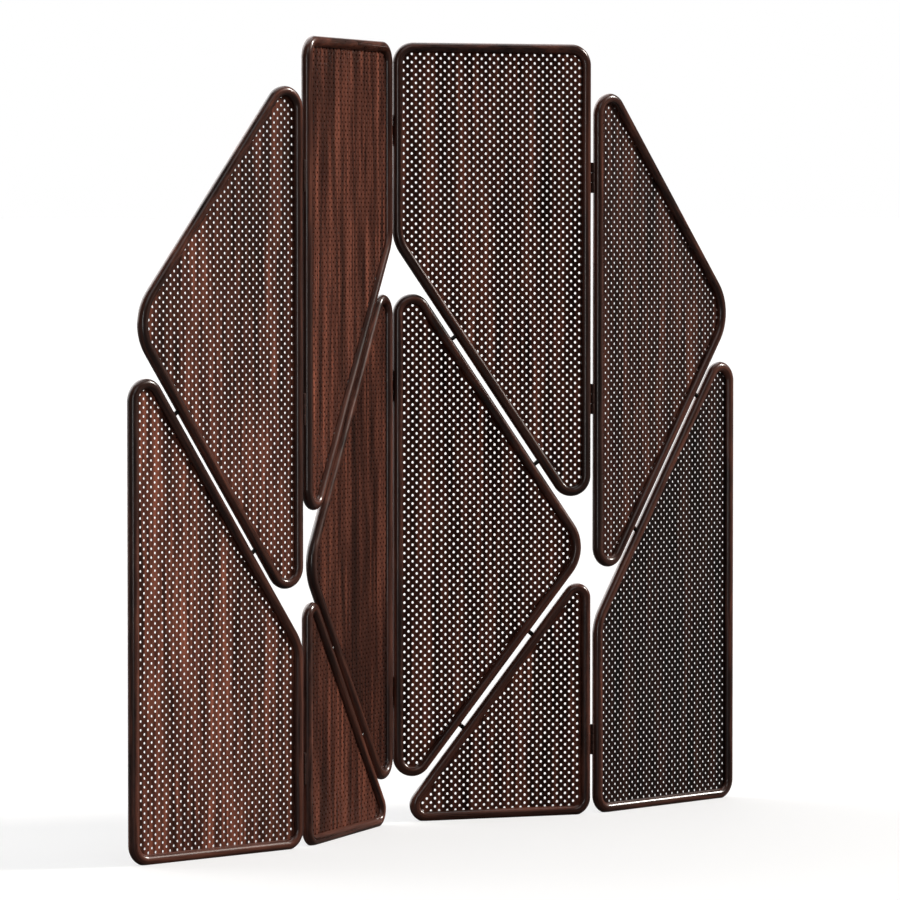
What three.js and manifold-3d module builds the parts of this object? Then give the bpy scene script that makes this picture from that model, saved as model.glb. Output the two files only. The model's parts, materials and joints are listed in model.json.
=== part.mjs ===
// Four-leaf folding screen in walnut: rounded, framed, perforated panels joined by short
// dowels inside each leaf and by pin hinges between the leaves.
// Millimetres, +Z up, front towards -Y, origin on the floor at the middle of the footprint.

import * as THREE from 'three';
import { mergeVertices } from 'three/addons/utils/BufferGeometryUtils.js';
import Module from 'manifold-3d';

const wasm = await Module();
wasm.setup();

// ---- Driving dimensions -----------------------------------------------------------------

const LEAF_WIDTH = 500;          // hinge axis to hinge axis
const SCREEN_HEIGHT = 1802;      // inner leaves, to the top of the bar
const OUTER_HEIGHT_AT_UPRIGHT = 1748;   // where the outer leaf's top slope meets its upright
const INNER_FOLD = 24.3;         // degrees, inner leaves to the screen's own line
const OUTER_FOLD = 1.85;         // degrees, outer leaves to the screen's own line

const BAR_R = 12.5;              // round frame bar
const UPRIGHT_INSET = 18;        // hinge axis to the centre of the nearest upright
const BAR_PITCH = 35;            // centre to centre across a slanted gap
const RAIL_HEIGHT = 9.5;         // centre of the bottom rails, whose underside is planed flat

const STEEP = 55.05;             // degrees, the steeper slanted bars
const EASY = 51.15;              // degrees, the easier slanted bars
const INNER_TOP_SLANT = 1345;    // upper inner frame's slant, where it meets the upright
const INNER_LOW_SLANT = 51.7;    // middle inner frame's lower slant, where it meets the upright
const OUTER_LOW_SLANT = 512;     // upper outer frame's lower slant, where it meets the upright

const BENDS = {                  // radii on the bar's centre line, in the outlines' order
  inner_upper: [36, 86, 36, 37],
  inner_middle: [34, 35.5, 83],
  inner_lower: [22.5, 28, 30],
  outer_upper: [39, 36, 105],
  outer_lower: [34.5, 98, 34, 35],
};

const PANEL_T = 2.6;             // perforated board
const PANEL_EDGE = 6;            // bar centre line to the board's edge, in the groove
const GROOVE_FLOOR = 5.5;        // bar centre line to the groove's floor
const FIT = 0.3;                 // gap between pieces that touch

const DOWEL_R = 5;
const DOWEL_SEAT = 7;            // how deep a dowel sits in each bar
const DOWEL_BORE_R = 5.35;

const HINGE_HEIGHT = 71;
const KNUCKLE_R = 5;
const KNUCKLE_GAP = 0.4;
const PIVOT_R = 2;
const PIVOT_BORE_R = 2.55;
const TONGUE_T = 4;
const TONGUE_START = 6.6;        // hinge axis to the near edge of the tongue
const TONGUE_END = 14.4;
const WEB_START = 3;

const SECTION_ARCS = 8;           // facets round a bar, lip to lip
const BEND_STEP = 27;            // degrees per facet along a bend, at most
const ROUND_SIDES = 10;

const INNER_HINGE_HEIGHTS = [303, 1011, 1599];   // centres, middle axis
const OUTER_HINGE_HEIGHTS = [175, 974, 1491];    // centres, left and right axes
const LEVELS = ['low', 'mid', 'top'];

// ---- Materials --------------------------------------------------------------------------

const walnutBar = () => new THREE.MeshStandardMaterial({ color: 0x32201a, roughness: 0.35 });
const walnutBoard = () => new THREE.MeshStandardMaterial({ color: 0x4a2b22, roughness: 0.45 });
const darkPeg = () => new THREE.MeshStandardMaterial({ color: 0x1c1412, roughness: 0.4 });
const bronzedSteel = () => new THREE.MeshStandardMaterial(
  { color: 0x241a16, roughness: 0.4, metalness: 0.6 });

// ---- Outlines on a leaf: u runs from the hinge axis, v up from the floor ------------------

const radians = THREE.MathUtils.degToRad;
const steepRise = Math.tan(radians(STEEP));
const easyRise = Math.tan(radians(EASY));
const steepDrop = BAR_PITCH / Math.cos(radians(STEEP));   // across a gap, measured upright
const easyDrop = BAR_PITCH / Math.cos(radians(EASY));
const NEAR = UPRIGHT_INSET;
const FAR = LEAF_WIDTH - UPRIGHT_INSET;
const SPAN = FAR - NEAR;

// Where a line falling from (NEAR, top) meets one rising from (NEAR, low).
function nose(top, fall, low, rise) {
  const run = (top - low) / (fall + rise);
  return [NEAR + run, low + rise * run];
}

const innerTopRail = SCREEN_HEIGHT - BAR_R;
const innerMidTop = INNER_TOP_SLANT - steepDrop;
const innerLowTop = INNER_LOW_SLANT + easyRise * SPAN - easyDrop;
const outerLowLeft = OUTER_LOW_SLANT - steepDrop;

// Corners run anticlockwise, seen with u to the right.
const corners = {
  inner_upper: [
    [NEAR, innerTopRail],
    [NEAR, INNER_TOP_SLANT],
    [FAR, INNER_TOP_SLANT - steepRise * SPAN],
    [FAR, innerTopRail],
  ],
  inner_middle: [
    [NEAR, innerMidTop],
    [NEAR, INNER_LOW_SLANT],
    nose(innerMidTop, steepRise, INNER_LOW_SLANT, easyRise),
  ],
  inner_lower: [
    [FAR, innerLowTop],
    [FAR - (innerLowTop - RAIL_HEIGHT) / easyRise, RAIL_HEIGHT],
    [FAR, RAIL_HEIGHT],
  ],
  outer_upper: [
    [NEAR, OUTER_HEIGHT_AT_UPRIGHT],
    [NEAR, OUTER_LOW_SLANT],
    nose(OUTER_HEIGHT_AT_UPRIGHT, easyRise, OUTER_LOW_SLANT, steepRise),
  ],
  outer_lower: [
    [FAR, outerLowLeft + steepRise * SPAN],
    [NEAR, outerLowLeft],
    [NEAR, RAIL_HEIGHT],
    [FAR, RAIL_HEIGHT],
  ],
};

// The corners of an outline with the radius of the bend at each.
function outline(key) {
  return corners[key].map(([u, v], i) => ({ u, v, r: BENDS[key][i] }));
}

// Each dowel: how far out it sits, and the bars that it joins.
const steepGap = (u, top) => ({ u, v: top - steepRise * (u - NEAR) - steepDrop / 2, tilt: -STEEP });
const easyGap = (u) => ({
  u, v: INNER_LOW_SLANT + easyRise * (u - NEAR) - easyDrop / 2, tilt: EASY,
});
const outerGap = (u) => ({
  u, v: OUTER_LOW_SLANT + steepRise * (u - NEAR) - steepDrop / 2, tilt: STEEP,
});
const innerDowels = {
  steep_near: steepGap(154, INNER_TOP_SLANT),
  steep_far: steepGap(359, INNER_TOP_SLANT),
  easy_near: easyGap(174),
  easy_far: easyGap(345),
};
const outerDowels = { near: outerGap(146), far: outerGap(363) };

// Points along the centre line of a rounded outline, each with its outward normal.
function stations(bends) {
  const list = [];
  bends.forEach((corner, i) => {
    const before = bends[(i + bends.length - 1) % bends.length];
    const after = bends[(i + 1) % bends.length];
    const dirIn = Math.atan2(corner.v - before.v, corner.u - before.u);
    const dirOut = Math.atan2(after.v - corner.v, after.u - corner.u);
    const turn = THREE.MathUtils.euclideanModulo(dirOut - dirIn, 2 * Math.PI);
    const lead = corner.r * Math.tan(turn / 2);
    const startNormal = dirIn - Math.PI / 2;
    const centreU = corner.u - lead * Math.cos(dirIn) - corner.r * Math.cos(startNormal);
    const centreV = corner.v - lead * Math.sin(dirIn) - corner.r * Math.sin(startNormal);
    const steps = Math.ceil(turn / radians(BEND_STEP));
    for (let k = 0; k <= steps; k += 1) {
      const a = startNormal + (turn * k) / steps;
      const [nu, nv] = [Math.cos(a), Math.sin(a)];
      list.push({ u: centreU + corner.r * nu, v: centreV + corner.r * nv, nu, nv });
    }
  });
  return list;
}

// Section of a bar: w outward from the centre line, d through the leaf. A groove for the
// board is open on the inward side.
function barSection() {
  const halfGroove = PANEL_T / 2 + FIT;
  const lip = Math.PI - Math.asin(halfGroove / BAR_R);
  const points = [];
  for (let k = 0; k <= SECTION_ARCS; k += 1) {
    const a = -lip + (2 * lip * k) / SECTION_ARCS;
    points.push([BAR_R * Math.cos(a), BAR_R * Math.sin(a)]);
  }
  points.push([-GROOVE_FLOOR, halfGroove], [-GROOVE_FLOOR, -halfGroove]);
  return points;
}

// ---- Solids -----------------------------------------------------------------------------

function toSolid(geometry) {
  const bare = geometry.clone();
  bare.deleteAttribute('normal');
  bare.deleteAttribute('uv');
  const merged = mergeVertices(bare, 1e-4);
  return new wasm.Manifold(new wasm.Mesh({
    numProp: 3,
    vertProperties: new Float32Array(merged.attributes.position.array),
    triVerts: new Uint32Array(merged.index.array),
  }));
}

function toGeometry(solid) {
  const { vertProperties, triVerts } = solid.getMesh();
  const geometry = new THREE.BufferGeometry();
  geometry.setAttribute('position', new THREE.BufferAttribute(vertProperties, 3));
  geometry.setIndex(new THREE.BufferAttribute(triVerts, 1));
  geometry.computeVertexNormals();
  return geometry;
}

// A closed ring of sections. side is 1 where u runs along +X, -1 where it runs along -X.
function ring(bends, side) {
  const path = stations(bends);
  const section = barSection();
  const positions = [];
  const index = [];
  path.forEach((s) => section.forEach(([w, d]) => {
    positions.push(side * (s.u + s.nu * w), d, s.v + s.nv * w);
  }));
  const n = section.length;
  path.forEach((s, i) => section.forEach((p, j) => {
    const [i2, j2] = [(i + 1) % path.length, (j + 1) % n];
    const quad = [i * n + j, i2 * n + j, i2 * n + j2, i * n + j2];
    if (side > 0) quad.reverse();
    index.push(quad[0], quad[1], quad[2], quad[0], quad[2], quad[3]);
  }));
  const geometry = new THREE.BufferGeometry();
  geometry.setAttribute('position', new THREE.Float32BufferAttribute(positions, 3));
  geometry.setIndex(index);
  return geometry;
}

function block(x0, x1, halfY, z0, z1) {
  const box = new THREE.BoxGeometry(x1 - x0, 2 * halfY, z1 - z0);
  return box.translate((x0 + x1) / 2, 0, (z0 + z1) / 2);
}

function post(radius, z0, z1) {
  const cylinder = new THREE.CylinderGeometry(radius, radius, z1 - z0, ROUND_SIDES);
  return cylinder.rotateX(Math.PI / 2).translate(0, 0, (z0 + z1) / 2);
}

// A round bar across a slanted gap, at right angles to it.
function peg(dowel, radius, length, side) {
  return post(radius, -length / 2, length / 2)
    .rotateY(-side * radians(dowel.tilt))
    .translate(side * dowel.u, 0, dowel.v);
}

function frameGeometry(name, side, dowels, hinges) {
  let solid = toSolid(ring(outline(name), side));
  const below = block(-2 * LEAF_WIDTH, 2 * LEAF_WIDTH, 2 * BAR_R, -2 * BAR_R, 0);
  if (name.endsWith('lower')) solid = solid.subtract(toSolid(below));
  for (const dowel of Object.values(dowels)) {
    const length = BAR_PITCH - 2 * BAR_R + 2 * (DOWEL_SEAT + FIT);
    solid = solid.subtract(toSolid(peg(dowel, DOWEL_BORE_R, length, side)));
  }
  for (const { u, v, away } of hinges) {
    const ends = [TONGUE_START - 2, TONGUE_END + FIT].map((x) => side * (u + away * x));
    const half = HINGE_HEIGHT / 2 + FIT;
    const slot = block(Math.min(...ends), Math.max(...ends), TONGUE_T / 2 + FIT, v - half, v + half);
    solid = solid.subtract(toSolid(slot));
  }
  return toGeometry(solid);
}

function boardGeometry(name, side) {
  const edge = stations(outline(name)).map((s) => new THREE.Vector2(
    side * (s.u - s.nu * PANEL_EDGE), s.v - s.nv * PANEL_EDGE));
  const board = new THREE.ExtrudeGeometry(new THREE.Shape(edge),
    { depth: PANEL_T, bevelEnabled: false });
  return board.rotateX(Math.PI / 2).translate(0, PANEL_T / 2, 0);
}

// Half a hinge about the origin, its tongue along +X or -X by away. The pin half carries the
// pivot pin and the two end knuckles, and the eye half the middle knuckle.
function hingeHalf(withPin, away) {
  const third = HINGE_HEIGHT / 3;
  const half = HINGE_HEIGHT / 2;
  const ranges = withPin
    ? [[-half, -half + third], [half - third, half]]
    : [[-half + third + KNUCKLE_GAP, half - third - KNUCKLE_GAP]];
  const spanX = (x0, x1) => (away > 0 ? [x0, x1] : [-x1, -x0]);
  let solid = toSolid(block(...spanX(TONGUE_START, TONGUE_END), TONGUE_T / 2, -half, half));
  for (const [z0, z1] of ranges) {
    solid = solid.add(toSolid(post(KNUCKLE_R, z0, z1)));
    solid = solid.add(toSolid(block(...spanX(WEB_START, TONGUE_START + 1), TONGUE_T / 2, z0, z1)));
  }
  return toGeometry(withPin
    ? solid.add(toSolid(post(PIVOT_R, -half + 1, half - 1)))
    : solid.subtract(toSolid(post(PIVOT_BORE_R, -half, half))));
}

// ---- The screen -------------------------------------------------------------------------

function named(name, geometry, material) {
  const mesh = new THREE.Mesh(geometry, material);
  mesh.name = name;
  return mesh;
}

// A leaf's frames, boards and dowels, in a group turned about its inner hinge axis.
// hinges holds, for each frame, the sockets cut in it.
function buildLeaf(leaf) {
  const group = new THREE.Group();
  group.position.set(leaf.x, leaf.y, 0);
  group.rotation.z = radians(leaf.turn);
  const dowels = leaf.kind === 'inner' ? innerDowels : outerDowels;
  const levels = leaf.kind === 'inner' ? ['upper', 'middle', 'lower'] : ['upper', 'lower'];
  for (const level of levels) {
    const key = `${leaf.kind}_${level}`;
    const held = leaf.hinges.filter((h) => h.level === level);
    group.add(named(`${leaf.name}_${level}_frame`,
      frameGeometry(key, leaf.side, dowels, held), walnutBar()));
    group.add(named(`${leaf.name}_${level}_panel`,
      boardGeometry(key, leaf.side), walnutBoard()));
  }
  const length = BAR_PITCH - 2 * BAR_R + 2 * DOWEL_SEAT;
  for (const [place, dowel] of Object.entries(dowels)) {
    group.add(named(`${leaf.name}_dowel_${place}`,
      peg(dowel, DOWEL_R, length, leaf.side), darkPeg()));
  }
  for (const h of leaf.hinges) {
    const away = leaf.side * h.away;
    const mesh = named(`hinge_${h.axis}_${h.rank}_${h.withPin ? 'pin' : 'eye'}_half`,
      hingeHalf(h.withPin, away), bronzedSteel());
    mesh.position.set(leaf.side * h.u, 0, h.v);
    group.add(mesh);
  }
  return group;
}

// The frames that take each hinge, from low to top.
const nearOwners = { inner: ['middle', 'middle', 'upper'], outer: ['lower', 'upper', 'upper'] };
const farOwners = ['lower', 'upper', 'upper'];

function hingeRow(axis, heights, owners, u, away, withPin) {
  return heights.map((v, i) => ({ axis, rank: LEVELS[i], level: owners[i], u, v, away, withPin }));
}

const reach = LEAF_WIDTH * Math.cos(radians(INNER_FOLD));
const depth = LEAF_WIDTH * Math.sin(radians(INNER_FOLD));

const leaves = [
  { name: 'leaf_1', kind: 'outer', side: -1, x: -reach, y: -depth, turn: -OUTER_FOLD,
    hinges: hingeRow('left', OUTER_HINGE_HEIGHTS, nearOwners.outer, 0, 1, true) },
  { name: 'leaf_2', kind: 'inner', side: -1, x: 0, y: 0, turn: INNER_FOLD,
    hinges: [
      ...hingeRow('middle', INNER_HINGE_HEIGHTS, nearOwners.inner, 0, 1, true),
      ...hingeRow('left', OUTER_HINGE_HEIGHTS, farOwners, LEAF_WIDTH, -1, false)] },
  { name: 'leaf_3', kind: 'inner', side: 1, x: 0, y: 0, turn: -INNER_FOLD,
    hinges: [
      ...hingeRow('middle', INNER_HINGE_HEIGHTS, nearOwners.inner, 0, 1, false),
      ...hingeRow('right', OUTER_HINGE_HEIGHTS, farOwners, LEAF_WIDTH, -1, false)] },
  { name: 'leaf_4', kind: 'outer', side: 1, x: reach, y: -depth, turn: OUTER_FOLD,
    hinges: hingeRow('right', OUTER_HINGE_HEIGHTS, nearOwners.outer, 0, 1, true) },
];

const screen = new THREE.Group();
for (const leaf of leaves) screen.add(buildLeaf(leaf));

// The footprint's middle goes over the origin.
const footprint = new THREE.Box3().setFromObject(screen, true);
screen.position.y = -(footprint.min.y + footprint.max.y) / 2;

export default screen;
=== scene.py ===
"""Looks for the four-leaf folding screen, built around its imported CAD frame. Metres."""
import json
import math
import random

import bmesh
import bpy
import numpy as np
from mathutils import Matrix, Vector
from mathutils.geometry import delaunay_2d_cdt


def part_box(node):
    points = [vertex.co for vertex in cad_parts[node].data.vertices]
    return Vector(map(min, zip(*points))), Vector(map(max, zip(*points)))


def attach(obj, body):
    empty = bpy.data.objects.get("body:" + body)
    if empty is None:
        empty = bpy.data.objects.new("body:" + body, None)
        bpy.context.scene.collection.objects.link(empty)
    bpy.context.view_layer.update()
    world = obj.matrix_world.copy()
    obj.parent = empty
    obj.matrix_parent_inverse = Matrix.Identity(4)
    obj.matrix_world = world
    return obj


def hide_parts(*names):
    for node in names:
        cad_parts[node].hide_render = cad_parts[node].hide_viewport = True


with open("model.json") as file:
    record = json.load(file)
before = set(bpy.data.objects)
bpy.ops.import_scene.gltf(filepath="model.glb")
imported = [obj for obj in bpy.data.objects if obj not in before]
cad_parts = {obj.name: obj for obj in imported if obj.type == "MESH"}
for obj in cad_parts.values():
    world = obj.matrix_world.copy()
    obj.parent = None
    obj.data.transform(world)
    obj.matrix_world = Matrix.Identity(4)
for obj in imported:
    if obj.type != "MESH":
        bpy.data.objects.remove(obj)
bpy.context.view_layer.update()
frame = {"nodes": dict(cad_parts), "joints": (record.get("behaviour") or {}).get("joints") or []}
rng = random.Random(7)      # shifts the grain from piece to piece

# ---- The driving dimensions of the CAD part, in millimetres --------------------------------

MM = 0.001
LEAF_WIDTH = 500
SCREEN_HEIGHT = 1802
BAR_R = 12.5
ROUND_BAR_R = 12.3          # a true round, kept inside the box of the faceted CAD bar
UPRIGHT_INSET = 18
BAR_PITCH = 35
RAIL_HEIGHT = 9.5
STEEP = math.radians(55.05)
EASY = math.radians(51.15)
INNER_TOP_SLANT = 1345
INNER_LOW_SLANT = 51.7
OUTER_LOW_SLANT = 512
OUTER_HEIGHT_AT_UPRIGHT = 1748
BENDS = {                 # bend radii on the bar's centre line, in the outlines' order
    "inner_upper": (36, 86, 36, 37),
    "inner_middle": (34, 35.5, 83),
    "inner_lower": (22.5, 28, 30),
    "outer_upper": (39, 36, 105),
    "outer_lower": (34.5, 98, 34, 35),
}
PANEL_T = 2.6
PANEL_EDGE = 6              # how far the board's rim is inside the bar's centre line
GROOVE_FLOOR = 5.5
GROOVE_PLAY = 0.15          # between the board's face and the groove's wall
LIP_R = 0.9                 # rounding of the groove's two lips
DOWEL_R = 5
DOWEL_SEAT = 7
DOWEL_EDGE = 0.5
HINGE_HEIGHT = 71
ROUND_KNUCKLE_R = 4.89      # a true round too, inside the faceted CAD knuckle
KNUCKLE_GAP = 0.4
PIVOT_R = 2
PIVOT_BORE_R = 2.55
TONGUE_T = 4
TONGUE_START = 6.6
TONGUE_END = 14.4
WEB_START = 3
WEB_LAP = 1                 # how far the web runs into the tongue
KNUCKLE_EDGE = 0.6
PIVOT_EDGE = 0.3
PIVOT_SHORT = 1             # the pin stops this far inside the outer knuckles' ends
HINGE_SOFTENING = 0.3       # bevel on the joined half

# ---- How finely the visible pieces are drawn -------------------------------------------------

SECTION_STEPS = 40
LIP_STEPS = 4
BAR_BEND_STEP = math.radians(4)
BOARD_BEND_STEP = math.radians(8)
ROD_SIDES = 32
WOOD_SMOOTH_BELOW = 40      # degrees between faces that are still shaded as one
HINGE_SMOOTH_BELOW = 35
BEVEL_ABOVE = 50
GRAIN_SHIFT_ACROSS = 5      # metres of grain space, so that no two pieces share a figure
GRAIN_SHIFT_ALONG = 9

# ---- The boards' holes ---------------------------------------------------------------------

HOLE_R = 3.1
HALF_PITCH_U = 10.086
HALF_PITCH_V = 9.545
HOLE_EDGE = 10.5          # nearest a hole's centre comes to the bar's centre line
HOLE_SIDES = 12
CELL_MARGIN = 2           # a cell this far clear of the rim is drawn as a plain diamond
INSIDE_HOLE = 0.98        # share of HOLE_R within which a triangle's middle is in the hole
HOLE_ANCHORS = {          # the centre of one hole on each kind of board, u and v
    "inner_upper": (264.3, 1555.6),
    "inner_middle": (144.9, 746.8),
    "inner_lower": (371.2, 127.5),
    "outer_upper": (165.4, 1206.3),
    "outer_lower": (311.2, 244.7),
}

BOARD_TONE_AND_SHADE = {           # how light each board is, as a factor on its colour: partly the veneer's own tone, partly painted shade where the light falls off, darkening leaf 4 and leaf 2's middle board most
    "leaf_1_upper": 1.20, "leaf_1_lower": 1.50,
    "leaf_2_upper": 1.10, "leaf_2_middle": 0.70, "leaf_2_lower": 0.85,
    "leaf_3_upper": 1.25, "leaf_3_middle": 1.14, "leaf_3_lower": 1.16,
    "leaf_4_upper": 0.48, "leaf_4_lower": 0.16,
}

# ---- Outlines on a leaf: u from the hinge axis, v up from the floor --------------------------

steep_rise, easy_rise = math.tan(STEEP), math.tan(EASY)
steep_drop, easy_drop = BAR_PITCH / math.cos(STEEP), BAR_PITCH / math.cos(EASY)
NEAR, FAR = UPRIGHT_INSET, LEAF_WIDTH - UPRIGHT_INSET
SPAN = FAR - NEAR
top_rail = SCREEN_HEIGHT - BAR_R
mid_top = INNER_TOP_SLANT - steep_drop
low_top = INNER_LOW_SLANT + easy_rise * SPAN - easy_drop
outer_low_left = OUTER_LOW_SLANT - steep_drop


def nose(top, fall, low, rise):
    run = (top - low) / (fall + rise)
    return (NEAR + run, low + rise * run)


CORNERS = {
    "inner_upper": [(NEAR, top_rail), (NEAR, INNER_TOP_SLANT),
                    (FAR, INNER_TOP_SLANT - steep_rise * SPAN), (FAR, top_rail)],
    "inner_middle": [(NEAR, mid_top), (NEAR, INNER_LOW_SLANT),
                     nose(mid_top, steep_rise, INNER_LOW_SLANT, easy_rise)],
    "inner_lower": [(FAR, low_top), (FAR - (low_top - RAIL_HEIGHT) / easy_rise, RAIL_HEIGHT),
                    (FAR, RAIL_HEIGHT)],
    "outer_upper": [(NEAR, OUTER_HEIGHT_AT_UPRIGHT), (NEAR, OUTER_LOW_SLANT),
                    nose(OUTER_HEIGHT_AT_UPRIGHT, easy_rise, OUTER_LOW_SLANT, steep_rise)],
    "outer_lower": [(FAR, outer_low_left + steep_rise * SPAN), (NEAR, outer_low_left),
                    (NEAR, RAIL_HEIGHT), (FAR, RAIL_HEIGHT)],
}
OUTLINES = {key: [(u, v, r) for (u, v), r in zip(corners, BENDS[key])]
            for key, corners in CORNERS.items()}


def steep_gap(u, top):
    return (u, top - steep_rise * (u - NEAR) - steep_drop / 2, -STEEP)


def easy_gap(u):
    return (u, INNER_LOW_SLANT + easy_rise * (u - NEAR) - easy_drop / 2, EASY)


def outer_gap(u):
    return (u, OUTER_LOW_SLANT + steep_rise * (u - NEAR) - steep_drop / 2, STEEP)


DOWELS = {
    "inner": {"steep_near": steep_gap(154, INNER_TOP_SLANT),
              "steep_far": steep_gap(359, INNER_TOP_SLANT),
              "easy_near": easy_gap(174), "easy_far": easy_gap(345)},
    "outer": {"near": outer_gap(146), "far": outer_gap(363)},
}


def stations(corners, step):
    """Points along a rounded outline: u, v and the outward normal, with a bend every step."""
    out = []
    for i, (cu, cv, r) in enumerate(corners):
        bu, bv, _ = corners[i - 1]
        au, av, _ = corners[(i + 1) % len(corners)]
        a_in = math.atan2(cv - bv, cu - bu)
        turn = (math.atan2(av - cv, au - cu) - a_in) % (2 * math.pi)
        lead = r * math.tan(turn / 2)
        start = a_in - math.pi / 2
        mu = cu - lead * math.cos(a_in) - r * math.cos(start)
        mv = cv - lead * math.sin(a_in) - r * math.sin(start)
        n = math.ceil(turn / step)
        for k in range(n + 1):
            a = start + turn * k / n
            nu, nv = math.cos(a), math.sin(a)
            out.append((mu + r * nu, mv + r * nv, nu, nv))
    return out


# ---- Where each leaf stands, read from the frame ---------------------------------------------

axes = {j["name"]: np.array(j["pos_m"][:2]) for j in frame["joints"]}


class Leaf:
    """A leaf's own u, v and depth, as points in the row frame."""

    def __init__(self, name, kind, hinge):
        self.name, self.kind, self.origin = name, kind, hinge
        node = frame["nodes"][f"{name}_lower_frame"]
        co = np.array([v.co for v in node.data.vertices])[:, :2]
        centre = co.mean(0)
        along = np.linalg.eigh(np.cov((co - centre).T))[1][:, -1]
        self.along = along * np.sign(along @ (centre - hinge))
        self.front = np.array([self.along[1], -self.along[0]])
        if self.front[1] > 0:
            self.front = -self.front
        # 1 where u, v and the front make a right-handed set, else -1
        self.hand = np.sign(self.along[0] * -self.front[1] + self.along[1] * self.front[0])

    def place(self, uvd):
        """Row-frame points from an array of u, v, depth towards the front, in millimetres."""
        uvd = np.asarray(uvd, float) * MM
        xy = self.origin + uvd[:, :1] * self.along + uvd[:, 2:] * self.front
        return np.column_stack([xy, uvd[:, 1]])


LEAVES = [
    Leaf("leaf_1", "outer", axes["fold_left"]),
    Leaf("leaf_2", "inner", axes["fold_middle"]),
    Leaf("leaf_3", "inner", axes["fold_middle"]),
    Leaf("leaf_4", "outer", axes["fold_right"]),
]


# ---- Mesh building ---------------------------------------------------------------------------

def make_mesh(name, points, faces, grain=None, smooth_below=None, tone_and_shade=1.0):
    """A linked object. Wood carries its grain coordinates, in metres, and its tone, which on the
    boards is partly painted shade.
    """
    mesh = bpy.data.meshes.new(name)
    mesh.from_pydata([tuple(p) for p in points], [], faces)
    mesh.update()
    if grain is not None:
        attribute = mesh.attributes.new("grain", "FLOAT_VECTOR", "POINT")
        attribute.data.foreach_set("vector", np.asarray(grain, np.float32).ravel())
        # the board's tone factor: its veneer's own tone and, on some boards, painted shade
        shade = mesh.attributes.new("tone_and_shade", "FLOAT", "POINT")
        shade.data.foreach_set("value", np.full(len(points), tone_and_shade, np.float32))
    if smooth_below is not None:
        mesh.shade_smooth()
        mesh.set_sharp_from_angle(angle=math.radians(smooth_below))
    obj = bpy.data.objects.new(name, mesh)
    bpy.context.scene.collection.objects.link(obj)
    return obj


def bar_section():
    """Section of a bar, outward and depth, with a groove whose lips are a little rounded."""
    half = PANEL_T / 2 + GROOVE_PLAY
    # the lip's arc touches the bar's circle from inside, and the groove's wall
    lip_d = half + LIP_R
    lip_w = -math.sqrt((ROUND_BAR_R - LIP_R) ** 2 - lip_d ** 2)
    lip_angle = math.atan2(lip_d, lip_w)
    wall_angle = 3 * math.pi / 2
    pts = []
    for k in range(SECTION_STEPS + 1):
        a = -lip_angle + 2 * lip_angle * k / SECTION_STEPS
        pts.append((ROUND_BAR_R * math.cos(a), ROUND_BAR_R * math.sin(a)))
    for k in range(1, LIP_STEPS + 1):
        a = lip_angle + (wall_angle - lip_angle) * k / LIP_STEPS
        pts.append((lip_w + LIP_R * math.cos(a), lip_d + LIP_R * math.sin(a)))
    pts.append((-GROOVE_FLOOR, half))
    pts.append((-GROOVE_FLOOR, -half))
    for k in range(LIP_STEPS):
        a = -wall_angle + (-lip_angle + wall_angle) * k / LIP_STEPS
        pts.append((lip_w + LIP_R * math.cos(a), -lip_d + LIP_R * math.sin(a)))
    return pts


SECTION = bar_section()


def grain_shift():
    """Where in the wood's figure a piece is cut from: across, through and along the grain."""
    return (rng.uniform(0, GRAIN_SHIFT_ACROSS), rng.uniform(0, GRAIN_SHIFT_ACROSS),
            rng.uniform(0, GRAIN_SHIFT_ALONG))


def build_bar(leaf, level):
    """The section swept round an outline. The grain runs along the bar."""
    path = stations(OUTLINES[f"{leaf.kind}_{level}"], BAR_BEND_STEP)
    n = len(SECTION)
    uvd, grain = [], []
    offset = Vector(grain_shift())
    length = 0.0
    for i, (u, v, nu, nv) in enumerate(path):
        if i:
            length += math.hypot(u - path[i - 1][0], v - path[i - 1][1])
        for w, d in SECTION:
            uvd.append((u + nu * w, v + nv * w, d))
            grain.append((offset.x + w * MM, offset.y + d * MM, offset.z + length * MM))
    faces = []
    for i in range(len(path)):
        i2 = (i + 1) % len(path)
        for j in range(n):
            j2 = (j + 1) % n
            quad = [i * n + j, i * n + j2, i2 * n + j2, i2 * n + j]
            faces.append(quad if leaf.hand < 0 else quad[::-1])
    bar = make_mesh(f"{leaf.name}_{level}_bar", leaf.place(uvd), faces, grain,
                    WOOD_SMOOTH_BELOW)
    if level == "lower":
        plane_underside(bar)
    return bar


def plane_underside(bar):
    """Cuts the bottom rail flat at the floor."""
    bm = bmesh.new()
    bm.from_mesh(bar.data)
    cut = bmesh.ops.bisect_plane(bm, geom=bm.verts[:] + bm.edges[:] + bm.faces[:], dist=1e-6,
                                 plane_co=(0, 0, 0), plane_no=(0, 0, -1), clear_outer=True)
    edges = [e for e in cut["geom_cut"] if isinstance(e, bmesh.types.BMEdge)]
    made = bmesh.ops.edgeloop_fill(bm, edges=edges)
    for face in made["faces"]:
        face.smooth = False
        if face.normal.z > 0:
            face.normal_flip()
    bm.to_mesh(bar.data)
    bm.free()
    bar.data.update()
    bar.data.set_sharp_from_angle(angle=math.radians(WOOD_SMOOTH_BELOW))


def inside_by(poly, pts):
    """Signed distance of points from a closed polygon's edge, positive inside."""
    a = np.asarray(poly)
    b = np.roll(a, -1, axis=0)
    p = np.asarray(pts)[:, None, :]
    ab = b - a
    t = np.clip(((p - a) * ab).sum(2) / (ab ** 2).sum(1), 0, 1)
    near = np.sqrt((((a + t[..., None] * ab) - p) ** 2).sum(2)).min(1)
    crosses = (a[:, 1] > p[..., 1]) != (b[:, 1] > p[..., 1])
    with np.errstate(divide="ignore", invalid="ignore"):
        x = a[:, 0] + (p[..., 1] - a[:, 1]) * ab[:, 0] / ab[:, 1]
    odd = (crosses & (p[..., 0] < x)).sum(1) % 2
    return np.where(odd == 1, near, -near)


def ring_pairs(ids):
    """Each item of a closed ring with the next one."""
    return list(zip(ids, ids[1:] + ids[:1]))


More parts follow.
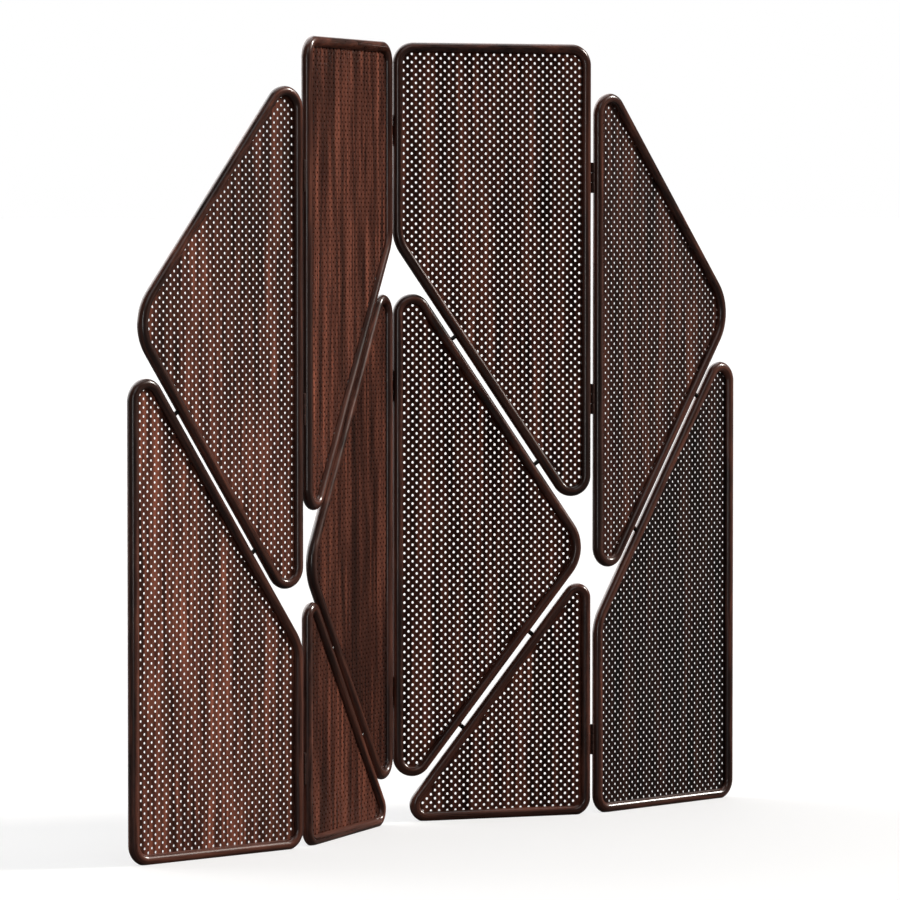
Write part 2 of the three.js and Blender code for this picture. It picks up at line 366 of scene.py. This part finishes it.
def build_board(leaf, level):
    """A thin board with staggered round holes, both faces, the holes' walls and the rim."""
    key = f"{leaf.kind}_{level}"
    path = stations(OUTLINES[key], BOARD_BEND_STEP)
    centre_line = [(u, v) for u, v, _, _ in path]
    rim = [(u - nu * PANEL_EDGE, v - nv * PANEL_EDGE) for u, v, nu, nv in path]
    au, av = HOLE_ANCHORS[key]
    lo, hi = np.min(rim, 0), np.max(rim, 0)
    i0, i1 = math.floor((lo[0] - au) / HALF_PITCH_U), math.ceil((hi[0] - au) / HALF_PITCH_U)
    j0, j1 = math.floor((lo[1] - av) / HALF_PITCH_V), math.ceil((hi[1] - av) / HALF_PITCH_V)
    cells = [(i, j) for i in range(i0, i1 + 1) for j in range(j0, j1 + 1) if (i + j) % 2 == 0]
    centres = np.array([(au + i * HALF_PITCH_U, av + j * HALF_PITCH_V) for i, j in cells])
    depth_in = inside_by(centre_line, centres)
    holes = {c: tuple(p) for c, p, d in zip(cells, centres, depth_in) if d > HOLE_EDGE}
    # a cell is plain where the whole diamond round its hole is well inside the rim
    clear = PANEL_EDGE + HALF_PITCH_U + CELL_MARGIN
    plain = {c for c, d in zip(cells, depth_in) if d > clear}

    points, index = [], {}

    def point(u, v):
        k = (round(u, 4), round(v, 4))
        if k not in index:
            index[k] = len(points)
            points.append(k)
        return index[k]

    def hole_ring(c):
        u, v = holes[c]
        turns = [2 * math.pi * k / HOLE_SIDES for k in range(HOLE_SIDES)]
        return [point(u + HOLE_R * math.cos(a), v + HOLE_R * math.sin(a)) for a in turns]

    def cell_tips(c):
        u, v = holes[c]
        return [(u + HALF_PITCH_U, v), (u, v + HALF_PITCH_V),
                (u - HALF_PITCH_U, v), (u, v - HALF_PITCH_V)]

    rings = {c: hole_ring(c) for c in holes}
    flat = []
    quarter = HOLE_SIDES // 4
    for c in plain:
        tips = [point(*tip) for tip in cell_tips(c)]
        ring = rings[c]
        for q in range(4):
            arc = [ring[(q * quarter + k) % HOLE_SIDES] for k in range(quarter + 1)]
            flat.append([tips[q], tips[(q + 1) % 4]] + arc[::-1])
    # the band between the plain cells and the rim is triangulated
    band_pts, band_ids, edges, faces = [], [], [], []

    def loop(ids):
        base = len(band_pts)
        band_ids.extend(ids)
        band_pts.extend(Vector(points[k]) for k in ids)
        return list(range(base, base + len(ids)))

    rim_loop = loop([point(*p) for p in rim])
    edges += ring_pairs(rim_loop)
    for c in holes:
        if c not in plain:
            ring = loop(rings[c])
            edges += ring_pairs(ring)
    for c in plain:
        i, j = c
        tips = cell_tips(c)
        beyond = [(i + 1, j + 1), (i - 1, j + 1), (i - 1, j - 1), (i + 1, j - 1)]
        for q in range(4):
            if beyond[q] not in plain:
                a, b = loop([point(*tips[q]), point(*tips[(q + 1) % 4])])
                edges.append((a, b))
    out_pts, _, out_tris, origins = delaunay_2d_cdt(band_pts, edges, [], 0, 1e-5)[:4]
    back = [band_ids[o[0]] if o else point(*p) for p, o in zip(out_pts, origins)]
    mid = np.array([[sum(out_pts[k][a] for k in t) / 3 for a in (0, 1)] for t in out_tris])
    keep = inside_by(rim, mid) > 0
    hole_at = np.array(list(holes.values()))
    is_plain = np.array([c in plain for c in holes])
    for t, m, k in zip(out_tris, mid, keep):
        if not k:
            continue
        gap = np.abs(hole_at - m)
        if (np.hypot(gap[:, 0], gap[:, 1]) < HOLE_R * INSIDE_HOLE).any():
            continue
        if (is_plain & (gap[:, 0] / HALF_PITCH_U + gap[:, 1] / HALF_PITCH_V < 1)).any():
            continue
        a, b, c = (back[i] for i in t)
        (u0, v0), (u1, v1), (u2, v2) = points[a], points[b], points[c]
        area = (u1 - u0) * (v2 - v0) - (u2 - u0) * (v1 - v0)
        flat.append([a, b, c] if area > 0 else [a, c, b])
    n = len(points)
    half = PANEL_T / 2
    uvd = [(u, v, half) for u, v in points] + [(u, v, -half) for u, v in points]
    faces = flat + [[i + n for i in f[::-1]] for f in flat]
    for ring in rings.values():
        faces += [[b + n, a + n, a, b] for a, b in ring_pairs(ring)]
    rim_ids = [point(*p) for p in rim]
    faces += [[a + n, b + n, b, a] for a, b in ring_pairs(rim_ids)]
    if leaf.hand < 0:
        faces = [f[::-1] for f in faces]
    # across the board, through it, and along the upright grain
    grain = np.array(uvd)[:, [0, 2, 1]] * MM + np.array(grain_shift())
    return make_mesh(f"{leaf.name}_{level}_board", leaf.place(uvd), faces, grain,
                     tone_and_shade=BOARD_TONE_AND_SHADE[f"{leaf.name}_{level}"])


def lathe(profile, sides):
    """A turned solid about the z axis from (radius, z) pairs, closed at both ends."""
    pts, faces = [], []
    for r, z in profile:
        for k in range(sides):
            a = 2 * math.pi * k / sides
            pts.append((r * math.cos(a), r * math.sin(a), z))
    for low in range(0, (len(profile) - 1) * sides, sides):
        high = low + sides
        for k in range(sides):
            k2 = (k + 1) % sides
            faces.append([low + k, low + k2, high + k2, high + k])
    faces.append(list(range(sides))[::-1])
    last = (len(profile) - 1) * sides
    faces.append([last + k for k in range(sides)])
    return pts, faces


def rounded_rod(radius, z0, z1, edge):
    """A round rod from z0 to z1 with its two edges rounded by edge."""
    arc = [(radius - edge + edge * math.sin(t), z0 + edge - edge * math.cos(t))
           for t in (0, math.pi / 6, math.pi / 3, math.pi / 2)]
    top = [(r, z0 + z1 - z) for r, z in arc[::-1]]
    return lathe(arc + top, ROD_SIDES)


def build_dowel(leaf, key):
    """A dowel square across its gap, seated in both bars."""
    u, v, tilt = DOWELS[leaf.kind][key]
    half = (BAR_PITCH - 2 * BAR_R) / 2 + DOWEL_SEAT
    pts, faces = rounded_rod(DOWEL_R, -half, half, DOWEL_EDGE)
    uvd, grain = [], []
    offset = rng.uniform(0, GRAIN_SHIFT_ALONG)
    for x, y, z in pts:
        uvd.append((u + x * math.cos(tilt) - z * math.sin(tilt),
                    v + x * math.sin(tilt) + z * math.cos(tilt), y))
        grain.append((offset + x * MM, y * MM, z * MM))
    # the turned solid's x, y, z are u, depth, v, which reverses the winding once
    if leaf.hand > 0:
        faces = [f[::-1] for f in faces]
    return make_mesh(f"{leaf.name}_pin_{key}", leaf.place(uvd), faces, grain,
                     WOOD_SMOOTH_BELOW)


def closed_box(x0, x1, y, z0, z1):
    """A box from x0 to x1 and z0 to z1 that reaches y either side of the middle."""
    pts = [(a, b, c) for c in (z0, z1) for a, b in ((x0, -y), (x1, -y), (x1, y), (x0, y))]
    faces = [[3, 2, 1, 0], [4, 5, 6, 7]]
    faces += [[k, (k + 1) % 4, (k + 1) % 4 + 4, k + 4] for k in range(4)]
    return pts, faces


def solid_tool(pts, faces):
    """A passing object for a boolean. hinge_shape removes it again."""
    mesh = bpy.data.meshes.new("tool")
    mesh.from_pydata(pts, [], faces)
    tool = bpy.data.objects.new("tool", mesh)
    bpy.context.scene.collection.objects.link(tool)
    return tool


def hinge_shape(with_pin):
    """Half a hinge about the origin, tongue along +X, in millimetres: vertices and faces."""
    half, third = HINGE_HEIGHT / 2, HINGE_HEIGHT / 3
    if with_pin:
        spans = [(-half, -half + third), (half - third, half)]
    else:
        spans = [(-half + third + KNUCKLE_GAP, half - third - KNUCKLE_GAP)]
    steps = []
    for z0, z1 in spans:
        web = closed_box(WEB_START, TONGUE_START + WEB_LAP, TONGUE_T / 2, z0, z1)
        steps.append(("UNION", rounded_rod(ROUND_KNUCKLE_R, z0, z1, KNUCKLE_EDGE)))
        steps.append(("UNION", web))
    if with_pin:
        reach = half - PIVOT_SHORT
        steps.append(("UNION", rounded_rod(PIVOT_R, -reach, reach, PIVOT_EDGE)))
    else:
        steps.append(("DIFFERENCE", rounded_rod(PIVOT_BORE_R, -half, half, PIVOT_EDGE)))
    body = solid_tool(*closed_box(TONGUE_START, TONGUE_END, TONGUE_T / 2, -half, half))
    tools = [solid_tool(*shape) for _, shape in steps]
    for (operation, _), tool in zip(steps, tools):
        cut = body.modifiers.new("join", "BOOLEAN")
        cut.operation = operation
        cut.solver = "EXACT"
        cut.object = tool
    soften = body.modifiers.new("soften", "BEVEL")
    soften.width = HINGE_SOFTENING
    soften.segments = 2
    soften.limit_method = "ANGLE"
    soften.angle_limit = math.radians(BEVEL_ABOVE)
    done = body.evaluated_get(bpy.context.evaluated_depsgraph_get()).to_mesh()
    pts = [tuple(v.co) for v in done.vertices]
    faces = [list(p.vertices) for p in done.polygons]
    for tool in [body, *tools]:
        mesh = tool.data
        bpy.data.objects.remove(tool)
        bpy.data.meshes.remove(mesh)
    return pts, faces


HINGE_SHAPES = {"pin": hinge_shape(True), "eye": hinge_shape(False)}


def build_hinge(leaf, node, half, away, u):
    """A hinge half at its node's height, with its tongue towards or away from the leaf."""
    low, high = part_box(node)
    v = (low[2] + high[2]) / 2 / MM
    pts, faces = HINGE_SHAPES[half]
    uvd = [(u + away * x, v + z, y) for x, y, z in pts]
    if leaf.hand * away > 0:
        faces = [f[::-1] for f in faces]
    name = node.replace("_half", "_knuckle")
    return make_mesh(name, leaf.place(uvd), faces, smooth_below=HINGE_SMOOTH_BELOW)


# ---- Materials -------------------------------------------------------------------------------

PORE_STRENGTH = 0.8
FIBRE_RELIEF = 0.6          # the fibres' height as a share of the pores'
WOOD_BUMP = 0.25
WOOD_BUMP_DEPTH = 0.00012   # metres
LACQUER_ROUGHNESS = 0.09
METAL_CLOUDS = 220          # the worn patches' scale, per metre
METAL_SHADES = (0.6, 1.7)   # factors on the metal's colour, from dull to worn
METAL_BUMP = 0.15
METAL_BUMP_DEPTH = 0.0001   # metres


def new_material(name):
    material = bpy.data.materials.new(name)
    material.use_nodes = True
    tree = material.node_tree
    shader = next(n for n in tree.nodes if n.type == "BSDF_PRINCIPLED")
    return material, tree, shader


def wood(name, dark, mid, light, roughness, coat, specular):
    """Stained walnut under satin lacquer. The grain attribute's third axis runs along it."""
    material, tree, shader = new_material(name)
    nodes, links = tree.nodes, tree.links

    attribute = nodes.new("ShaderNodeAttribute")
    attribute.attribute_name = "grain"

    def noise(scale, detail, rough, distortion=0.0):
        mapping = nodes.new("ShaderNodeMapping")
        mapping.inputs["Scale"].default_value = scale
        links.new(attribute.outputs["Vector"], mapping.inputs["Vector"])
        node = nodes.new("ShaderNodeTexNoise")
        node.inputs["Scale"].default_value = 1.0
        node.inputs["Detail"].default_value = detail
        node.inputs["Roughness"].default_value = rough
        node.inputs["Distortion"].default_value = distortion
        links.new(mapping.outputs["Vector"], node.inputs["Vector"])
        return node.outputs["Fac"]

    def ramp(value, stops):
        node = nodes.new("ShaderNodeValToRGB")
        while len(node.color_ramp.elements) < len(stops):
            node.color_ramp.elements.new(0.5)
        for element, (at, colour) in zip(node.color_ramp.elements, stops):
            element.position = at
            element.color = (*colour, 1)
        links.new(value, node.inputs["Fac"])
        return node.outputs["Color"]

    def multiply(a, b, factor=1.0):
        node = nodes.new("ShaderNodeMix")
        node.data_type = "RGBA"
        node.blend_type = "MULTIPLY"
        node.inputs["Factor"].default_value = factor
        links.new(a, node.inputs["A"])
        links.new(b, node.inputs["B"])
        return node.outputs["Result"]

    # each noise's scale is per metre across, through and along the grain
    broad = noise((26, 26, 1.6), 3.0, 0.55, 0.4)
    figure = noise((95, 95, 4.5), 4.0, 0.6, 0.3)
    fibre = noise((900, 900, 16), 3.0, 0.6)
    pores = noise((1500, 1500, 34), 2.0, 0.5)

    base = ramp(broad, [(0.38, dark), (0.50, mid), (0.62, light)])
    fine = ramp(figure, [(0.34, (0.40, 0.37, 0.37)), (0.50, (0.92, 0.90, 0.90)),
                         (0.66, (1.8, 1.7, 1.6))])
    threads = ramp(fibre, [(0.30, (0.62, 0.60, 0.60)), (0.55, (1.0, 1.0, 1.0)),
                           (0.75, (1.25, 1.22, 1.18))])
    flecks = ramp(pores, [(0.30, (0.35, 0.33, 0.33)), (0.40, (1.0, 1.0, 1.0))])
    colour = multiply(multiply(multiply(base, fine), threads), flecks, PORE_STRENGTH)
    # the colour is multiplied by the tone attribute, which holds painted shade as well as the
    # veneer's tone
    tone_and_shade = nodes.new("ShaderNodeAttribute")
    tone_and_shade.attribute_name = "tone_and_shade"
    links.new(multiply(colour, tone_and_shade.outputs["Color"]), shader.inputs["Base Color"])

    spread = nodes.new("ShaderNodeMapRange")
    spread.inputs["From Min"].default_value = 0.3
    spread.inputs["From Max"].default_value = 0.7
    spread.inputs["To Min"].default_value = roughness - 0.05
    spread.inputs["To Max"].default_value = roughness + 0.08
    links.new(figure, spread.inputs["Value"])
    links.new(spread.outputs["Result"], shader.inputs["Roughness"])

    height = nodes.new("ShaderNodeMath")
    height.operation = "MULTIPLY_ADD"
    links.new(fibre, height.inputs[0])
    height.inputs[1].default_value = FIBRE_RELIEF
    links.new(pores, height.inputs[2])
    relief = nodes.new("ShaderNodeBump")
    relief.inputs["Strength"].default_value = WOOD_BUMP
    relief.inputs["Distance"].default_value = WOOD_BUMP_DEPTH
    links.new(height.outputs[0], relief.inputs["Height"])
    links.new(relief.outputs["Normal"], shader.inputs["Normal"])

    shader.inputs["Coat Weight"].default_value = coat
    shader.inputs["Coat Roughness"].default_value = LACQUER_ROUGHNESS
    shader.inputs["Specular IOR Level"].default_value = specular
    return material


def metal(name, colour, roughness):
    """Bronzed steel: a dull dark coat with faint cloudy wear."""
    material, tree, shader = new_material(name)
    nodes, links = tree.nodes, tree.links
    coordinates = nodes.new("ShaderNodeTexCoord")
    cloud = nodes.new("ShaderNodeTexNoise")
    cloud.inputs["Scale"].default_value = METAL_CLOUDS
    cloud.inputs["Detail"].default_value = 5
    links.new(coordinates.outputs["Object"], cloud.inputs["Vector"])
    tint = nodes.new("ShaderNodeValToRGB")
    for element, at, factor in zip(tint.color_ramp.elements, (0.35, 0.7), METAL_SHADES):
        element.position = at
        element.color = (*[c * factor for c in colour], 1)
    links.new(cloud.outputs["Fac"], tint.inputs["Fac"])
    links.new(tint.outputs["Color"], shader.inputs["Base Color"])
    spread = nodes.new("ShaderNodeMapRange")
    spread.inputs["To Min"].default_value = roughness - 0.08
    spread.inputs["To Max"].default_value = roughness + 0.12
    links.new(cloud.outputs["Fac"], spread.inputs["Value"])
    links.new(spread.outputs["Result"], shader.inputs["Roughness"])
    relief = nodes.new("ShaderNodeBump")
    relief.inputs["Strength"].default_value = METAL_BUMP
    relief.inputs["Distance"].default_value = METAL_BUMP_DEPTH
    links.new(cloud.outputs["Fac"], relief.inputs["Height"])
    links.new(relief.outputs["Normal"], shader.inputs["Normal"])
    shader.inputs["Metallic"].default_value = 0.1
    shader.inputs["Specular IOR Level"].default_value = 0.15
    return material


bar_wood = wood("walnut_bar", (0.038, 0.0135, 0.0085), (0.076, 0.026, 0.0165),
                (0.120, 0.041, 0.026), roughness=0.30, coat=0.38, specular=0.25)
board_wood = wood("walnut_board", (0.050, 0.017, 0.0105), (0.100, 0.033, 0.021),
                  (0.160, 0.054, 0.034), roughness=0.42, coat=0.0, specular=0.12)
pin_wood = wood("dark_dowel", (0.006, 0.004, 0.003), (0.010, 0.006, 0.005),
                (0.016, 0.010, 0.008), roughness=0.35, coat=0.1, specular=0.25)
hinge_metal = metal("bronzed_steel", (0.034, 0.013, 0.009), roughness=0.62)

# ---- The leaves ------------------------------------------------------------------------------

LEVELS = {"inner": ["upper", "middle", "lower"], "outer": ["upper", "lower"]}


def fit_piece(piece, material, leaf, node):
    """Puts a piece on its leaf, in the place of its CAD node."""
    piece.data.materials.append(material)
    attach(piece, leaf.name)
    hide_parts(node)


for leaf in LEAVES:
    for level in LEVELS[leaf.kind]:
        where = f"{leaf.name}_{level}"
        fit_piece(build_bar(leaf, level), bar_wood, leaf, f"{where}_frame")
        fit_piece(build_board(leaf, level), board_wood, leaf, f"{where}_panel")
    for key in DOWELS[leaf.kind]:
        fit_piece(build_dowel(leaf, key), pin_wood, leaf, f"{leaf.name}_dowel_{key}")

HINGE_SIDES = [           # axis, half, leaf, way the tongue points along u, and u of the axis
    ("left", "pin", 0, 1, 0), ("left", "eye", 1, -1, LEAF_WIDTH),
    ("middle", "pin", 1, 1, 0), ("middle", "eye", 2, 1, 0),
    ("right", "eye", 2, -1, LEAF_WIDTH), ("right", "pin", 3, 1, 0),
]
for axis, half, number, away, u in HINGE_SIDES:
    for rank in ("low", "mid", "top"):
        node = f"hinge_{axis}_{rank}_{half}_half"
        hinge = build_hinge(LEAVES[number], node, half, away, u)
        fit_piece(hinge, hinge_metal, LEAVES[number], node)

# ---- Camera, floor and light -----------------------------------------------------------------

CAMERA_FROM_FOLD = Vector((-7.9070, -8.4388, 1.4008))   # metres, solved from the photograph
CAMERA_TURN = (87.7439, 0, -43.8184)                    # degrees, tilted down a little
CAMERA_LENS = 200.61                                    # millimetres, on the sensor's width
SENSOR_WIDTH = 36
CAMERA_SHIFT_Y = -0.04
CLIP_END = 5000
FLOOR_SIZE = 4000
FLOOR_BOUNCE, FLOOR_SEEN = 0.08, 0.3    # its colour to bounced light, and to the camera
FLOOR_LIFT = 0.61                       # its own glow to the camera, as an overexposed studio

middle = Vector((*axes["fold_middle"], 0))
camera_data = bpy.data.cameras.new("camera")
camera = bpy.data.objects.new("camera", camera_data)
bpy.context.scene.collection.objects.link(camera)
camera.location = middle + CAMERA_FROM_FOLD
camera.rotation_euler = [math.radians(a) for a in CAMERA_TURN]
camera_data.lens = CAMERA_LENS
camera_data.sensor_width = SENSOR_WIDTH
camera_data.shift_y = CAMERA_SHIFT_Y
camera_data.clip_end = CLIP_END
bpy.context.scene.camera = camera

bpy.ops.mesh.primitive_plane_add(size=FLOOR_SIZE, location=(0, 0, 0))
floor = bpy.context.object
floor.name = "floor"
floor_material, floor_tree, floor_shader = new_material("pale_floor")
seen = floor_tree.nodes.new("ShaderNodeLightPath")
shade = floor_tree.nodes.new("ShaderNodeMapRange")
shade.inputs["To Min"].default_value = FLOOR_BOUNCE
shade.inputs["To Max"].default_value = FLOOR_SEEN
floor_tree.links.new(seen.outputs["Is Camera Ray"], shade.inputs["Value"])
floor_tree.links.new(shade.outputs["Result"], floor_shader.inputs["Base Color"])
lift = floor_tree.nodes.new("ShaderNodeMath")
lift.operation = "MULTIPLY"
lift.inputs[1].default_value = FLOOR_LIFT
floor_tree.links.new(seen.outputs["Is Camera Ray"], lift.inputs[0])
floor_shader.inputs["Emission Color"].default_value = (1, 1, 1, 1)
floor_tree.links.new(lift.outputs[0], floor_shader.inputs["Emission Strength"])
floor_shader.inputs["Roughness"].default_value = 0.8
floor_shader.inputs["Specular IOR Level"].default_value = 0.1
floor.data.materials.append(floor_material)


def area_light(name, at, aim, width, height, power):
    """A rectangular light at a point, turned to face aim. The power is in watts."""
    data = bpy.data.lights.new(name, "AREA")
    data.shape = "RECTANGLE"
    data.size, data.size_y = width, height
    data.energy = power
    light = bpy.data.objects.new(name, data)
    light.location = at
    light.rotation_euler = (Vector(aim) - Vector(at)).to_track_quat("-Z", "Y").to_euler()
    bpy.context.scene.collection.objects.link(light)
    return light


def sun(name, azimuth, elevation, angle, power):
    """A soft, distant light. The azimuth is where it shines from, from +X towards +Y."""
    data = bpy.data.lights.new(name, "SUN")
    data.energy = power
    data.angle = math.radians(angle)
    light = bpy.data.objects.new(name, data)
    a, e = math.radians(azimuth), math.radians(elevation)
    source = Vector((math.cos(e) * math.cos(a), math.cos(e) * math.sin(a), math.sin(e)))
    light.rotation_euler = source.to_track_quat("Z", "Y").to_euler()
    bpy.context.scene.collection.objects.link(light)
    return light


sun("overhead", azimuth=40, elevation=78, angle=60, power=1.7)
key_light = sun("right_key", azimuth=-30, elevation=31, angle=13, power=3.5)
key_light.data.color = (1, 0.94, 0.88)
sun("front_fill", azimuth=-110, elevation=35, angle=30, power=0.3)
sun("back", azimuth=110, elevation=40, angle=40, power=1.1)
glow = area_light("front_strip", at=(-4.9, -4.9, 1.5), aim=(0, 0, 0.9),
                  width=0.9, height=3.4, power=58)
glow.visible_diffuse = False    # it only puts the line of light along the uprights

world = bpy.data.worlds.new("studio")
bpy.context.scene.world = world
world.use_nodes = True
world_nodes, world_links = world.node_tree.nodes, world.node_tree.links
background = next(n for n in world_nodes if n.type == "BACKGROUND")
background.inputs["Color"].default_value = (1, 1, 1, 1)


def world_math(operation, a, b):
    node = world_nodes.new("ShaderNodeMath")
    node.operation = operation
    for socket, value in zip(node.inputs, (a, b)):
        if isinstance(value, (int, float)):
            socket.default_value = value
        else:
            world_links.new(value, socket)
    return node.outputs[0]


# a white wall behind the screen on the left, seen only in reflections
WALL_AZIMUTH, WALL_ELEVATION = math.radians(92), math.radians(28)
WALL_FADE, WALL_FULL = math.radians(58), math.radians(34)   # off its middle
WALL_LEVELS = (0.03, 3.6)       # how bright it is beyond the fade, and in the middle
WORLD_FILL = 0.035              # what the surroundings add to diffuse light

towards = world_nodes.new("ShaderNodeTexCoord")
wall_way = world_nodes.new("ShaderNodeVectorMath")
wall_way.operation = "DOT_PRODUCT"
wall_way.inputs[1].default_value = (math.cos(WALL_ELEVATION) * math.cos(WALL_AZIMUTH),
                                    math.cos(WALL_ELEVATION) * math.sin(WALL_AZIMUTH),
                                    math.sin(WALL_ELEVATION))
world_links.new(towards.outputs["Generated"], wall_way.inputs[0])
wall = world_nodes.new("ShaderNodeMapRange")
wall.interpolation_type = "SMOOTHSTEP"
wall.inputs["From Min"].default_value = math.cos(WALL_FADE)
wall.inputs["From Max"].default_value = math.cos(WALL_FULL)
wall.inputs["To Min"].default_value = WALL_LEVELS[0]
wall.inputs["To Max"].default_value = WALL_LEVELS[1]
world_links.new(wall_way.outputs["Value"], wall.inputs["Value"])
ray = world_nodes.new("ShaderNodeLightPath")
dim = world_math("MULTIPLY", ray.outputs["Is Diffuse Ray"], WORLD_FILL)
shine = world_math("MULTIPLY", ray.outputs["Is Glossy Ray"], wall.outputs["Result"])
total = world_math("ADD", world_math("ADD", dim, shine), ray.outputs["Is Camera Ray"])
world_links.new(total, background.inputs["Strength"])

bpy.context.scene.view_settings.view_transform = "Standard"
